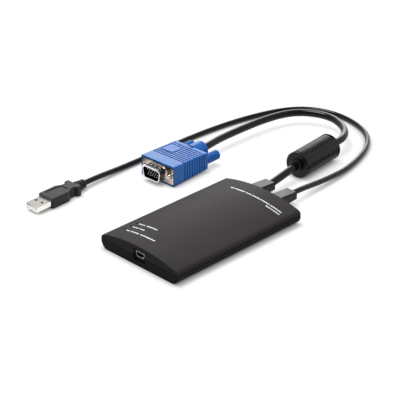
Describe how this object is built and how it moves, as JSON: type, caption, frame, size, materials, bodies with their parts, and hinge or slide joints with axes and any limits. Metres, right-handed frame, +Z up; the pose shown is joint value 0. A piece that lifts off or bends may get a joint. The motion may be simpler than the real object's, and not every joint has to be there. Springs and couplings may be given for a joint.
{
  "type": "crash cart adapter",
  "caption": "Flat arched console adapter box with a small data socket, a choked video cable to a plug with thumbscrews and a thinner cable to a flat data plug",
  "frame": {"origin": "the middle of the box's underside, where it rests on a table", "axes": "+Z up; the socket end faces -Y, the cables leave at +Y and turn back on the -X side"},
  "size_m": [0.1527, 0.2751, 0.02],
  "materials": {
    "housing_plastic": "fine moulded grain, dark grey",
    "relief_plastic": "smooth moulded, dark grey",
    "screw_steel": "zinc plated",
    "board_laminate": "green solder mask",
    "chip_plastic": "moulded package",
    "can_metal": "drawn can",
    "header_plastic": "off-white moulding",
    "lead_jacket": "insulated cores",
    "plated_shell": "nickel plated sheet",
    "black_insulator": "moulded insulator",
    "gold_contact": "gold flashed contacts",
    "lamp_package": "surface lamp package",
    "clear_pipe": "clear moulding",
    "cable_jacket": "satin dark jacket",
    "sleeve_plastic": "black ribbed moulding",
    "ferrite": "sintered ferrite",
    "blue_hood": "blue moulding",
    "knob_plastic": "blue fluted moulding",
    "jackscrew_steel": "nickel plated screw",
    "grip_plastic": "black moulding"
  },
  "bodies": {
    "adapter": {"top_cover": "housing_plastic", "bottom_cover": "housing_plastic", "video_cable_relief": "relief_plastic", "data_cable_relief": "relief_plastic", "housing_screws": "screw_steel", "circuit_board": "board_laminate", "processor_chip": "chip_plastic", "video_converter_chip": "chip_plastic", "memory_chip": "chip_plastic", "data_hub_chip": "chip_plastic", "clock_crystal": "can_metal", "video_header": "header_plastic", "data_header": "header_plastic", "data_plug_blade": "header_plastic", "video_leads": "lead_jacket", "data_leads": "lead_jacket", "socket_shell": "plated_shell", "video_plug_shell": "plated_shell", "data_plug_shell": "plated_shell", "socket_tongue": "black_insulator", "video_plug_insulator": "black_insulator", "socket_contacts": "gold_contact", "video_plug_pins": "gold_contact", "data_plug_contacts": "gold_contact", "status_lamps": "lamp_package", "light_pipes": "clear_pipe", "video_cable": "cable_jacket", "data_cable": "cable_jacket", "ferrite_sleeve": "sleeve_plastic", "ferrite_core": "ferrite", "video_plug_hood": "blue_hood", "data_plug_grip": "grip_plastic"},
    "left_thumbscrew": {"left_thumb_knob": "knob_plastic", "left_jackscrew": "jackscrew_steel"},
    "right_thumbscrew": {"right_thumb_knob": "knob_plastic", "right_jackscrew": "jackscrew_steel"}
  },
  "joints": [
    {"name": "left_thumbscrew_turn", "type": "hinge", "parent": "adapter", "child": "left_thumbscrew", "pos_m": [-0.09485, 0.07114, 0.0077], "axis": [0.0349, -0.9994, 0], "continuous": true},
    {"name": "right_thumbscrew_turn", "type": "hinge", "parent": "adapter", "child": "right_thumbscrew", "pos_m": [-0.06987, 0.07201, 0.0077], "axis": [0.0349, -0.9994, 0], "continuous": true}
  ]
}
